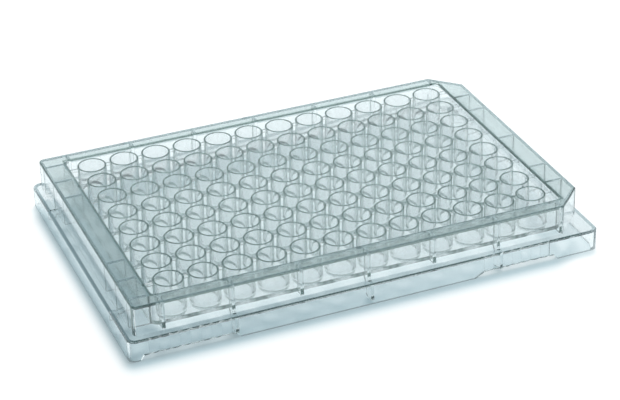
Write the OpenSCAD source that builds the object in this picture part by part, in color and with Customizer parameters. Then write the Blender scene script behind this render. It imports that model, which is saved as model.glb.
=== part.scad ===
// 96-well plate, one clear moulding: a foot flange, a raised tier with a flat border deck,
// and a sunken field of free-standing chimney wells joined by a floor and small webs.
// The origin is the centre of the footprint, on the plane that the plate stands on.
// +X runs along a row from column 1 to column 12, +Y runs to row A at the back, +Z is up.

/* [Footprint] */
// Length of the foot flange, along the rows
foot_l = 127.76; // [124:0.02:132]
// Width of the foot flange, along the columns
foot_w = 85.48; // [82:0.02:90]
// Radius of the flange's corners
foot_r = 2; // [1.2:0.1:3]
// Height of the flange's ledge
foot_h = 5.9; // [5:0.1:7]
// Thickness of the flange's upright wall
foot_wall = 1; // [0.7:0.05:1.4]
// Thickness of the ledge on the flange
ledge_t = 1; // [0.7:0.05:1.4]
// How far the middle of each short side's ledge is let down
side_drop = 0.35; // [0.1:0.05:0.5]

/* [Tier] */
// Height of the well rims above the plane that the plate stands on
plate_h = 14.2; // [13:0.1:16]
// How far the rims stand above the border deck
rim_rise = 0.15; // [0.05:0.05:0.5]
// Width of the ledge around the tier
ledge_w = 2.05; // [1.6:0.05:2.6]
// Thickness of the tier's outer wall
tier_wall = 0.95; // [0.7:0.05:1.3]
// Radius of the tier's two square corners
tier_r = 1.3; // [1:0.1:2]
// Leg of the tier's two cut-off corners, on the column 12 side
corner_cut = 7.5; // [3:0.1:8]
// Thickness of the border deck
deck_t = 1.05; // [0.7:0.05:1.5]
// Bevel on the top edges of the flange, of the tier and around the sunken field
edge_bevel = 0.3; // [0.1:0.05:0.4]

/* [Well field] */
// Border from the footprint's short sides to the sunken field
border_x = 8.45; // [7.8:0.05:9.5]
// Border from the footprint's long sides to the sunken field
border_y = 6; // [5.6:0.05:6.6]
// Thickness of the wall around the field
field_wall = 0.9; // [0.6:0.05:1.2]
// Radius of the field's corners
field_r = 1.5; // [1:0.1:3]
// Height of the floor between the chimneys
floor_h = 6.7; // [6:0.1:8]
// Thickness of that floor
floor_t = 0.8; // [0.6:0.05:1.2]

/* [Wells] */
// Distance between well centres
pitch = 9; // [9:0.05:12]
// Diameter of a well at its rim
well_d = 6.9; // [6:0.05:7.1]
// Taper of a well: how much narrower it is at its bottom
well_taper = 0.5; // [0.1:0.05:0.8]
// How far the wells' bottoms reach below the floor's underside
base_drop = 1; // [0.5:0.1:2]
// Thickness of a well's bottom
base_t = 1.1; // [0.8:0.05:1.6]
// Wall of a chimney at its rim
rim_wall = 0.45; // [0.3:0.05:0.5]
// Wall of a well at its bottom
base_wall = 0.6; // [0.4:0.05:0.8]
// How much wider a chimney is at the floor than at its rim
chimney_flare = 0.2; // [0:0.05:0.3]
// Bevel on both edges of a rim
rim_bevel = 0.12; // [0.05:0.01:0.13]

/* [Webs] */
// Thickness of the webs that join the chimneys of a row
web_t = 0.5; // [0.3:0.05:0.8]
// Height of the webs
web_h = 0.8; // [0.4:0.1:2]
// Drop of the webs below the rims
web_drop = 0.3; // [0.2:0.1:1]

/* [Ribs] */
// Thickness of the ribs in the hollow border
rib_t = 0.9; // [0.6:0.05:1.2]
// Height of the front and back gussets' feet above the standing plane
gusset_foot = 0.8; // [0.5:0.1:1.5]
// Width of a front or back gusset's foot, in from the flange's wall
gusset_w = 3.2; // [2:0.1:3.4]
// Rounding of the inner corner of that foot
gusset_r = 0.8; // [0.4:0.1:1]
// Height of the side gussets' feet above the standing plane
side_gusset_foot = 3.1; // [2:0.1:3.4]
// Width of a side gusset's foot, in from the flange's wall
side_gusset_w = 1.3; // [0.8:0.1:2]
// How far below the floor's underside a gusset starts to slope in
gusset_neck = 2.05; // [1.5:0.05:2.5]

/* [Grips] */
// Start of the left grip, from the footprint's left end
left_grip_x = 2.9; // [2.6:0.1:6]
// Length of the left grip
left_grip_l = 25.7; // [16:0.1:30]
// Start of the right grip, from the footprint's left end
right_grip_x = 92.3; // [84:0.1:96]
// Length of the right grip
right_grip_l = 23.5; // [16:0.1:26]
// Height of the cut-out under each grip
cut_h = 1.35; // [0.6:0.05:2]
// Length of a cut-out's sloped end near the plate's corner
outer_slope = 0.9; // [0.5:0.1:2]
// Length of the left cut-out's other sloped end
left_inner_slope = 1.6; // [0.5:0.1:3]
// Length of the right cut-out's other sloped end
right_inner_slope = 2.4; // [0.5:0.1:3]
// Width of one reed of a grip
reed_w = 2.67; // [2:0.01:3.5]
// How far a reed stands out
reed_h = 0.35; // [0.2:0.05:0.5]

/* [Hidden] */
$fn = 64;
cut = 0.5; // how far a cutter reaches past the surface that it opens
reed_skin = 0.02; // the reeds' crests lie this far inside the flange's face

deck_h = plate_h - rim_rise;
tier_l = foot_l - 2 * ledge_w;
tier_w = foot_w - 2 * ledge_w;
ledge_z = foot_h - ledge_t;
floor_z = floor_h - floor_t;

field_l = foot_l - 2 * border_x;
field_w = foot_w - 2 * border_y;

chimney_d = well_d + 2 * rim_wall;
foot_d = chimney_d + chimney_flare;
base_d = well_d - well_taper + 2 * base_wall;
base_z = floor_z - base_drop;
well_z = base_z + base_t;
well_depth = plate_h - well_z;

// as many wells as the field holds with room around the outermost chimneys
field_gap = 0.6;
cols = floor((field_l - foot_d - 2 * field_gap) / pitch) + 1;
rows = floor((field_w - foot_d - 2 * field_gap) / pitch) + 1;

// the ribs stand between the wells, counted in pitches from the middle of the plate
long_ribs = [-6, -4, -2, 0, 2, 4, 6];
left_ribs = [-4, -3, -2, 2, 3, 4];
right_ribs = [-3, -2, 0, 2, 3];
long_gussets = [-4, 0, 4];
side_gussets = [-3, 3];

function column_x(i) = (i - (cols - 1) / 2) * pitch;
function row_y(j) = (j - (rows - 1) / 2) * pitch;

module rounded(length, width, radius) {
    square([length - 2 * radius, width], center = true);
    square([length, width - 2 * radius], center = true);
    for (x = [-1, 1], y = [-1, 1])
        translate([x * (length / 2 - radius), y * (width / 2 - radius)]) circle(r = radius);
}

// The tier's outline, drawn in by inset: square at the column 1 end, cut off at the other
module tier_outline(inset) {
    difference() {
        rounded(tier_l - 2 * inset, tier_w - 2 * inset, max(tier_r - inset, 0.3));
        for (side = [-1, 1])
            translate([tier_l / 2, side * tier_w / 2])
                rotate(45) square(corner_cut * sqrt(2) + 2 * inset, center = true);
    }
}

module slab(bottom, top) {
    translate([0, 0, bottom]) linear_extrude(top - bottom) children();
}

// A rounded block whose sides lean in at 45 degrees by that much, or out where it is negative
module leaning_block(length, width, radius, lean, bottom) {
    height = abs(lean);
    translate([0, 0, bottom]) {
        for (x = [-1, 1], y = [-1, 1])
            translate([x * (length / 2 - radius), y * (width / 2 - radius), 0])
                cylinder(h = height, r1 = radius, r2 = radius - lean);
        for (bar = [[length, width, 90], [width, length, 0]])
            rotate([90, 0, bar[2]]) linear_extrude(bar[0] - 2 * radius, center = true)
                polygon([[-bar[1] / 2, 0], [bar[1] / 2, 0],
                    [bar[1] / 2 - lean, height], [-bar[1] / 2 + lean, height]]);
    }
}

// Takes the bevel off the top edge of a rounded block
module outer_bevel(length, width, radius, top) {
    bottom = top - edge_bevel - cut;
    difference() {
        slab(bottom, top + cut) square([length + 4 * cut, width + 4 * cut], center = true);
        leaning_block(length + 2 * cut, width + 2 * cut, radius + cut, edge_bevel + 2 * cut, bottom);
    }
}

// Takes the bevel off the deck along a cut-off corner
module corner_bevel() {
    wall = -corner_cut / sqrt(2);
    low = deck_h - edge_bevel - cut;
    for (side = [-1, 1])
        translate([tier_l / 2, side * tier_w / 2, 0]) rotate([90, 0, side * 45])
            linear_extrude(2 * corner_cut, center = true)
                polygon([[wall + cut, low], [cut, low], [cut, deck_h + cut],
                    [wall - edge_bevel - cut, deck_h + cut]]);
}

// The sunken field's opening in the deck, with its bevel
module field_opening(bottom) {
    slab(bottom, deck_h + cut) rounded(field_l, field_w, field_r);
    leaning_block(field_l - 2 * cut, field_w - 2 * cut, field_r - cut, -edge_bevel - 2 * cut,
        deck_h - edge_bevel - cut);
}

// The gaps between the convex reeds of one grip, along the front face.
// The reeds leave half a reed's width or more free at each end.
module reed_gaps(start, length) {
    count = floor(length / reed_w - 1);
    radius = (pow(reed_w, 2) / 4 + pow(reed_h, 2)) / (2 * reed_h);
    first = start + (length - count * reed_w) / 2 - foot_l / 2;
    face = -foot_w / 2;
    difference() {
        translate([first, face - cut]) square([count * reed_w, reed_h + cut]);
        for (i = [0 : count - 1])
            translate([first + (i + 0.5) * reed_w, face + reed_skin + radius]) circle(r = radius);
    }
}

// The low cut-out in the flange's lower edge under one grip, through the front wall
module grip_cut(start, length, left_slope, right_slope) {
    left = start - foot_l / 2;
    right = left + length;
    translate([0, -foot_w / 2 + foot_wall + cut, 0]) rotate([90, 0, 0])
        linear_extrude(foot_wall + 2 * cut)
            polygon([[left - cut, -cut], [left, 0], [left + left_slope, cut_h],
                [right - right_slope, cut_h], [right, 0], [right + cut, -cut]]);
}

module grips() {
    for (turn = [0, 1]) mirror([0, turn, 0]) {
        slab(-cut, foot_h + cut) {
            reed_gaps(left_grip_x, left_grip_l);
            reed_gaps(right_grip_x, right_grip_l);
        }
        grip_cut(left_grip_x, left_grip_l, outer_slope, left_inner_slope);
        grip_cut(right_grip_x, right_grip_l, right_inner_slope, outer_slope);
    }
}

module flange() {
    difference() {
        slab(0, foot_h) rounded(foot_l, foot_w, foot_r);
        slab(-cut, ledge_z)
            rounded(foot_l - 2 * foot_wall, foot_w - 2 * foot_wall, foot_r - foot_wall / 2);
        slab(0, foot_h + cut) tier_outline(tier_wall);
        outer_bevel(foot_l, foot_w, foot_r, foot_h);
        for (side = [-1, 1])
            translate([side * foot_l / 2, 0, foot_h])
                cube([2 * ledge_w, 6 * pitch, 2 * side_drop], center = true);
        grips();
    }
}

module tier() {
    difference() {
        slab(ledge_z, deck_h) tier_outline(0);
        slab(ledge_z - cut, deck_h - deck_t) tier_outline(tier_wall);
        outer_bevel(tier_l, tier_w, tier_r, deck_h);
        corner_bevel();
        field_opening(ledge_z);
    }
}

// The sunken tray that the chimneys stand in
module field() {
    difference() {
        slab(floor_z, deck_h)
            rounded(field_l + 2 * field_wall, field_w + 2 * field_wall, field_r + field_wall);
        field_opening(floor_h);
    }
}

// A flat piece across the border, one rib thick, seen from the end: x runs in from the footprint's edge
module across() {
    rotate([90, 0, 0]) translate([0, 0, -rib_t / 2]) linear_extrude(rib_t) children();
}

module rib(border) {
    inner = border - field_wall / 2;
    outer = ledge_w + tier_wall / 2;
    top = deck_h - deck_t / 2;
    across() polygon([[outer, foot_h], [inner, floor_z], [inner, top], [outer, top]]);
}

// A gusset from the flange's wall to the field's floor, with a foot of that width
module gusset(border, foot, width, round) {
    inner = border - field_wall / 2;
    edge = foot_wall + width;
    neck_z = max(floor_z - gusset_neck, foot + round);
    bend = [for (a = [0 : 15 : 90]) [edge - round + round * sin(a), foot + round - round * cos(a)]];
    across() polygon(concat([[foot_wall / 2, foot]], bend, [[edge, neck_z], [inner, floor_z],
        [inner, floor_z + floor_t / 2], [foot_wall / 2, ledge_z + ledge_t / 2]]));
}

module ribs() {
    for (turn = [0, 180]) rotate(turn) {
        for (i = long_ribs) translate([i * pitch, -foot_w / 2, 0]) rotate(90) rib(border_y);
        for (i = long_gussets) translate([i * pitch, -foot_w / 2, 0]) rotate(90)
            gusset(border_y, gusset_foot, gusset_w, gusset_r);
        for (i = side_gussets) translate([-foot_l / 2, i * pitch, 0])
            gusset(border_x, side_gusset_foot, side_gusset_w, side_gusset_w / 4);
    }
    for (i = left_ribs) translate([-foot_l / 2, i * pitch, 0]) rib(border_x);
    for (i = right_ribs) translate([foot_l / 2, i * pitch, 0]) rotate(180) rib(border_x);
}

// One chimney, solid: its well is bored later
module chimney() {
    rotate_extrude()
        polygon([[0, base_z], [base_d / 2, base_z], [foot_d / 2, floor_z], [foot_d / 2, floor_h],
            [chimney_d / 2, plate_h - rim_bevel], [chimney_d / 2 - rim_bevel, plate_h], [0, plate_h]]);
}

module well() {
    translate([0, 0, well_z]) rotate_extrude()
        polygon([[0, 0], [(well_d - well_taper) / 2, 0], [well_d / 2, well_depth - rim_bevel],
            [well_d / 2 + rim_bevel, well_depth], [0, well_depth]]);
}

module each_well() {
    for (i = [0 : cols - 1], j = [0 : rows - 1])
        translate([column_x(i), row_y(j), 0]) children();
}

module webs() {
    for (j = [0 : rows - 1])
        translate([0, row_y(j), plate_h - web_drop - web_h / 2])
            cube([field_l + field_wall, web_t, web_h], center = true);
}

module plate() {
    color([0.78, 0.87, 0.87, 0.6])
        difference() {
            union() {
                flange();
                tier();
                field();
                ribs();
                webs();
                each_well() chimney();
            }
            each_well() well();
        }
}

plate();
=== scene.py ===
"""The looks of the clear well plate: its plastic, a white table, soft studio light and the camera."""

import bpy
from mathutils import Matrix, Vector


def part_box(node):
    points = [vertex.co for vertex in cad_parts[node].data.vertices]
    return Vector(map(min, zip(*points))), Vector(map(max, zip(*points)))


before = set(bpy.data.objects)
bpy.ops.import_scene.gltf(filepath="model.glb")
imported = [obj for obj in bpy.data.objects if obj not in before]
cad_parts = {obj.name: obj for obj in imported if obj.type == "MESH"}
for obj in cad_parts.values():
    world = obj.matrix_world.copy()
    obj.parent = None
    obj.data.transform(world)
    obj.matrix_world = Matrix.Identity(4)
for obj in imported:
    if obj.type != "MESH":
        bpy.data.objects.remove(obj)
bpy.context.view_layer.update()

# Lengths are in metres, colours are red, green, blue and alpha, and pairs are along X and along Y.
WHITE = (1.0, 1.0, 1.0, 1)

# The plastic: clear polystyrene, faintly wavy. Its blue-green tint shows where light has gone a long way in it.
IOR = 1.59
ROUGHNESS = 0.08
TINT = (0.24, 0.36, 0.38, 1)
TINT_DENSITY = 55.0
WAVE_SCALE = 140.0
WAVE_STRENGTH = 0.05
WAVE_HEIGHT = 0.0002
NOISE_DETAIL = 2.0

# Light that is still caught in the walls after this many bounces is taken to be this soft grey-green.
CAUGHT_AFTER = 16
CAUGHT = (0.55, 0.72, 0.68, 1)

# The deck is the flat border around the wells, which start this far in from the edges of the footprint.
# It is a little frosted and greyed with painted shade, and along its inner edge a line of painted shade is as
# dark as a rim.
BORDER = (0.00845, 0.006)
DECK_FROM_Z = 0.0137
DECK_ROUGHNESS = 0.15
DECK_PAINTED_SHADE = (0.60, 0.68, 0.67, 1)
DECK_EDGE = 0.0007

# The rims of the wells, which rise above the deck, are darkened with painted shade, a dark colour that stands
# in for the dark outlines that their tops show in this light.
RIM_FROM_Z = 0.01408
RIM_PAINTED_SHADE = (0.15, 0.22, 0.20, 1)

# What each surface lets through of the light that falls on the table. The light lands under the border,
# among the wells or outside the plate. The pairs of colours are for the near left and the far right corner.
BORDER_SHADE = (0.0115, 0.0105)  # how far in the shade of the border reaches
BORDER_PASS = ((0.66, 0.72, 0.74, 1), (1.0, 1.0, 1.0, 1))
WELLS_PASS = ((0.985, 0.992, 0.992, 1), (1.0, 1.0, 1.0, 1))
OUTSIDE_PASS = (0.88, 0.925, 0.94, 1)
ACROSS = 0.45  # how much a step along Y counts against one along X
SPOTS = 0.10  # how strong the fine spots are
SPOT_SCALE = 700.0

# What a surface lets through that the light only grazes, and how quickly that begins.
GRAZE_PASS = (0.82, 0.89, 0.90, 1)
GRAZE_POWER = 4.0

# The camera: where it stands, and which way its picture lies.
CAMERA_AT = (-0.170810, -0.432691, 0.272754)
CAMERA_RIGHT = (0.92414, -0.38127, -0.02461)
CAMERA_UP = (0.20860, 0.44954, 0.86856)
CAMERA_CLIP = (0.01, 20)
LENS_MM = 117.31
SENSOR_MM = 36.0

# The room: a white backdrop, faintly blue where it shows in the plastic. It reaches higher towards BACK, and
# above it the room is dim. SKY is the strength of the even light on matt surfaces.
BACK = (0.37, 0.93, 0.0)
BACKDROP_LEAN = 0.2
BACKDROP_FADE = (0.30, 0.36)
BACKDROP = (0.85, 0.975, 1.0, 1)
ROOM = (0.08, 0.105, 0.11, 1)
SKY = 0.25

# The key lamp, which stands behind the plate on its right.
KEY_AT = (0.38, 0.65, 1.40)
KEY_SIZE = 0.5
KEY_W = 27.0

# The table: white for the camera, tinted in the plastic, and plain for the light that it throws back.
TABLE_HALF = 3.0
TABLE_PLAIN = (0.85, 0.86, 0.86, 1)
TABLE_TINT = (0.92, 1.0, 1.025, 1)
TABLE_GLOW = 0.10
GLOW_COLOUR = (0.8, 0.96, 1, 1)

# The walls of the plate need many bounces.
BOUNCES = 24
GLOSSY_BOUNCES = 16
TRANSPARENT_BOUNCES = 64

# The Mix node's colour sockets, by number, because their names are those of its other sockets too.
MIX_FIRST, MIX_SECOND, MIX_RESULT = 6, 7, 2

# The plate is centred on the origin, so this corner gives half its size.
high_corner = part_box("plate")[1]


def new_material(name):
    """An empty node material, its tree and its output node."""
    material = bpy.data.materials.new(name)
    material.use_nodes = True
    material.node_tree.nodes.clear()
    output = material.node_tree.nodes.new("ShaderNodeOutputMaterial")
    return material, material.node_tree, output


def put(tree, socket, value):
    """Links the socket to another socket, or sets it."""
    if isinstance(value, bpy.types.NodeSocket):
        tree.links.new(value, socket)
    else:
        socket.default_value = value


def add(tree, kind, **sockets):
    """A node of that kind, with its named input sockets set or linked. An underscore stands for a space."""
    node = tree.nodes.new(kind)
    for name, value in sockets.items():
        put(tree, node.inputs[name.replace("_", " ")], value)
    return node


def math_node(tree, operation, *values):
    """The result of one Math node."""
    node = tree.nodes.new("ShaderNodeMath")
    node.operation = operation
    for socket, value in zip(node.inputs, values):
        put(tree, socket, value)
    return node.outputs[0]


def mix_shaders(tree, factor, first, second):
    """A node that gives the first node's shader at a factor of 0, and the second one's at 1."""
    node = tree.nodes.new("ShaderNodeMixShader")
    for socket, value in zip(node.inputs, (factor, first.outputs[0], second.outputs[0])):
        put(tree, socket, value)
    return node


def mix_colours(tree, factor, first, second):
    """The first colour at a factor of 0, and the second one at 1."""
    node = tree.nodes.new("ShaderNodeMix")
    node.data_type = "RGBA"
    put(tree, node.inputs["Factor"], factor)
    put(tree, node.inputs[MIX_FIRST], first)
    put(tree, node.inputs[MIX_SECOND], second)
    return node.outputs[MIX_RESULT]


def scaled(colour, share):
    """The colour at that share of its strength."""
    return tuple(part * share for part in colour[:3]) + (1,)


def landing(tree, axes):
    """Where the key light through a point of the plate meets the table, as shares of half the plate's size."""
    shares = []
    for axis in (0, 1):
        lean = -KEY_AT[axis] / KEY_AT[2]
        meets = math_node(tree, "MULTIPLY_ADD", axes["Z"], lean, axes[axis])
        shares.append(math_node(tree, "DIVIDE", meets, high_corner[axis]))
    return shares


def beyond(tree, shares, inset):
    """1 where either share is past the plate's edge less the inset, and 0 nearer its middle."""
    past = []
    for axis in (0, 1):
        size = math_node(tree, "ABSOLUTE", shares[axis])
        past.append(math_node(tree, "GREATER_THAN", size, 1 - inset[axis] / high_corner[axis]))
    return math_node(tree, "MAXIMUM", *past)


def shadow_colour(tree, place, axes):
    """What a surface lets through to the table: under the wells, under the border or outside the plate."""
    shares = landing(tree, axes)
    both = math_node(tree, "MULTIPLY_ADD", shares[1], ACROSS, shares[0])
    far = 1 + ACROSS
    corner = add(tree, "ShaderNodeMapRange", Value=both, From_Min=-far, From_Max=far).outputs[0]
    wells = mix_colours(tree, corner, *WELLS_PASS)
    border = mix_colours(tree, corner, *BORDER_PASS)
    under = mix_colours(tree, beyond(tree, shares, BORDER_SHADE), wells, border)
    noise = add(tree, "ShaderNodeTexNoise", Vector=place, Scale=SPOT_SCALE, Detail=NOISE_DETAIL)
    spots = math_node(tree, "MULTIPLY", noise.outputs["Fac"], SPOTS)
    under = mix_colours(tree, spots, under, BORDER_PASS[0])
    return mix_colours(tree, beyond(tree, shares, (0.0, 0.0)), under, OUTSIDE_PASS)


def on_deck(tree, axes):
    """Two masks: the flat deck around the wells, and the inner edge of that deck, where a line of painted shade
    goes.
    """
    shares = [math_node(tree, "DIVIDE", axes[axis], high_corner[axis]) for axis in (0, 1)]
    high_up = math_node(tree, "GREATER_THAN", axes["Z"], DECK_FROM_Z)
    deck = math_node(tree, "MULTIPLY", high_up, beyond(tree, shares, BORDER))
    past_edge = beyond(tree, shares, [width - DECK_EDGE for width in BORDER])
    return deck, math_node(tree, "MULTIPLY", deck, math_node(tree, "SUBTRACT", 1.0, past_edge))


def clear_plastic():
    """Clear plastic that lets the lamp and the sky through to the table as a pale shadow."""
    material, tree, output = new_material("clear_polystyrene")
    material.cycles.emission_sampling = "NONE"
    place = tree.nodes.new("ShaderNodeTexCoord").outputs["Object"]
    axes = add(tree, "ShaderNodeSeparateXYZ", Vector=place).outputs

    waves = add(tree, "ShaderNodeTexNoise", Vector=place, Scale=WAVE_SCALE, Detail=NOISE_DETAIL).outputs["Fac"]
    bump = add(tree, "ShaderNodeBump", Strength=WAVE_STRENGTH, Distance=WAVE_HEIGHT, Height=waves)
    on_rim = math_node(tree, "GREATER_THAN", axes["Z"], RIM_FROM_Z)
    deck, deck_edge = on_deck(tree, axes)
    # Painted shade in the base colour: dark on the tops of the rims and along the deck's inner edge, grey on
    # the rest of the deck.
    dark = math_node(tree, "MAXIMUM", on_rim, deck_edge)
    shader = add(
        tree,
        "ShaderNodeBsdfPrincipled",
        Base_Color=mix_colours(tree, dark, mix_colours(tree, deck, WHITE, DECK_PAINTED_SHADE), RIM_PAINTED_SHADE),
        Roughness=math_node(tree, "MULTIPLY_ADD", deck, DECK_ROUGHNESS - ROUGHNESS, ROUGHNESS),
        IOR=IOR,
        Transmission_Weight=1.0,
        Normal=bump.outputs["Normal"],
    )

    passes = add(tree, "ShaderNodeBsdfTransparent", Color=shadow_colour(tree, place, axes))
    facing = tree.nodes.new("ShaderNodeLayerWeight").outputs["Facing"]
    grazing = math_node(tree, "POWER", facing, GRAZE_POWER)
    graze_pass = add(tree, "ShaderNodeBsdfTransparent", Color=GRAZE_PASS)
    passes = mix_shaders(tree, grazing, passes, graze_pass)

    path = tree.nodes.new("ShaderNodeLightPath").outputs
    for_table = math_node(tree, "MAXIMUM", path["Is Shadow Ray"], path["Is Diffuse Ray"])
    caught = math_node(tree, "GREATER_THAN", path["Ray Depth"], CAUGHT_AFTER)
    inside = mix_shaders(tree, caught, shader, add(tree, "ShaderNodeEmission", Color=CAUGHT))
    surface = mix_shaders(tree, for_table, inside, passes)
    volume = add(tree, "ShaderNodeVolumeAbsorption", Color=TINT, Density=TINT_DENSITY)
    tree.links.new(surface.outputs[0], output.inputs["Surface"])
    tree.links.new(volume.outputs[0], output.inputs["Volume"])
    return material


def seen_rays(tree):
    """1 for the rays that show the background: straight, mirrored and through the plastic."""
    path = tree.nodes.new("ShaderNodeLightPath").outputs
    either = math_node(tree, "MAXIMUM", path["Is Camera Ray"], path["Is Glossy Ray"])
    return math_node(tree, "MAXIMUM", either, path["Is Transmission Ray"])


def white_table():
    """White in the light. A little glow keeps the plate's shadow pale."""
    material, tree, output = new_material("white_table")
    plain = add(tree, "ShaderNodeBsdfDiffuse", Color=TABLE_PLAIN)
    straight = tree.nodes.new("ShaderNodeLightPath").outputs["Is Camera Ray"]
    white = scaled(WHITE, 1 - TABLE_GLOW)
    tinted = scaled(TABLE_TINT, 1 - TABLE_GLOW)
    lit = add(tree, "ShaderNodeBsdfDiffuse", Color=mix_colours(tree, straight, tinted, white))
    glow = add(tree, "ShaderNodeEmission", Color=GLOW_COLOUR, Strength=TABLE_GLOW)
    both = tree.nodes.new("ShaderNodeAddShader")
    tree.links.new(lit.outputs[0], both.inputs[0])
    tree.links.new(glow.outputs[0], both.inputs[1])
    surface = mix_shaders(tree, seen_rays(tree), plain, both)
    tree.links.new(surface.outputs[0], output.inputs["Surface"])
    return material


def table():
    """The table top that the plate stands on."""
    mesh = bpy.data.meshes.new("table_top")
    corners = [(x * TABLE_HALF, y * TABLE_HALF, 0) for x, y in ((-1, -1), (1, -1), (1, 1), (-1, 1))]
    mesh.from_pydata(corners, [], [(0, 1, 2, 3)])
    mesh.materials.append(white_table())
    top = bpy.data.objects.new("table_top", mesh)
    bpy.context.scene.collection.objects.link(top)


def sky():
    """An even light for matt surfaces. The plastic sees the backdrop with the dim room above it."""
    world = bpy.data.worlds.new("studio")
    world.use_nodes = True
    tree = world.node_tree
    tree.nodes.clear()
    way = tree.nodes.new("ShaderNodeTexCoord").outputs["Generated"]
    height = add(tree, "ShaderNodeSeparateXYZ", Vector=way).outputs["Z"]
    ahead = tree.nodes.new("ShaderNodeVectorMath")
    ahead.operation = "DOT_PRODUCT"
    put(tree, ahead.inputs[0], way)
    put(tree, ahead.inputs[1], BACK)
    lean = math_node(tree, "MULTIPLY", ahead.outputs["Value"], BACKDROP_LEAN)
    level = math_node(tree, "SUBTRACT", height, lean)
    low, high = BACKDROP_FADE
    above = add(tree, "ShaderNodeMapRange", Value=level, From_Min=low, From_Max=high).outputs[0]
    straight = tree.nodes.new("ShaderNodeLightPath").outputs["Is Camera Ray"]
    not_straight = math_node(tree, "SUBTRACT", 1.0, straight)
    backdrop = mix_colours(tree, not_straight, WHITE, BACKDROP)
    dim = math_node(tree, "MULTIPLY", above, not_straight)
    lit = add(tree, "ShaderNodeBackground", Color=WHITE, Strength=SKY)
    seen = add(tree, "ShaderNodeBackground", Color=mix_colours(tree, dim, backdrop, ROOM), Strength=1.0)
    output = tree.nodes.new("ShaderNodeOutputWorld")
    surface = mix_shaders(tree, seen_rays(tree), lit, seen)
    tree.links.new(surface.outputs[0], output.inputs["Surface"])
    bpy.context.scene.world = world


def key_lamp():
    """One soft lamp, aimed at the plate. The plastic doesn't show it."""
    data = bpy.data.lights.new("key", "AREA")
    data.shape = "SQUARE"
    data.size = KEY_SIZE
    data.energy = KEY_W
    lamp = bpy.data.objects.new("key", data)
    lamp.location = KEY_AT
    lamp.rotation_mode = "QUATERNION"
    lamp.rotation_quaternion = (-Vector(KEY_AT)).to_track_quat("-Z", "Y")
    lamp.visible_glossy = False
    lamp.visible_transmission = False
    bpy.context.scene.collection.objects.link(lamp)


def camera():
    """The photograph's camera."""
    data = bpy.data.cameras.new("camera")
    data.sensor_width = SENSOR_MM
    data.lens = LENS_MM
    data.clip_start, data.clip_end = CAMERA_CLIP
    eye = bpy.data.objects.new("camera", data)
    right, up = Vector(CAMERA_RIGHT), Vector(CAMERA_UP)
    turn = Matrix((right, up, right.cross(up))).transposed()
    eye.matrix_world = Matrix.Translation(CAMERA_AT) @ turn.to_4x4()
    bpy.context.scene.collection.objects.link(eye)
    bpy.context.scene.camera = eye


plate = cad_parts["plate"]
plate.data.materials.clear()
plate.data.materials.append(clear_plastic())
table()
sky()
key_lamp()
camera()

scene = bpy.context.scene
scene.view_settings.view_transform = "Standard"
scene.cycles.max_bounces = BOUNCES
scene.cycles.transmission_bounces = BOUNCES
scene.cycles.glossy_bounces = GLOSSY_BOUNCES
scene.cycles.transparent_max_bounces = TRANSPARENT_BOUNCES
scene.cycles.caustics_refractive = False
scene.cycles.caustics_reflective = False
scene.cycles.use_denoising = True
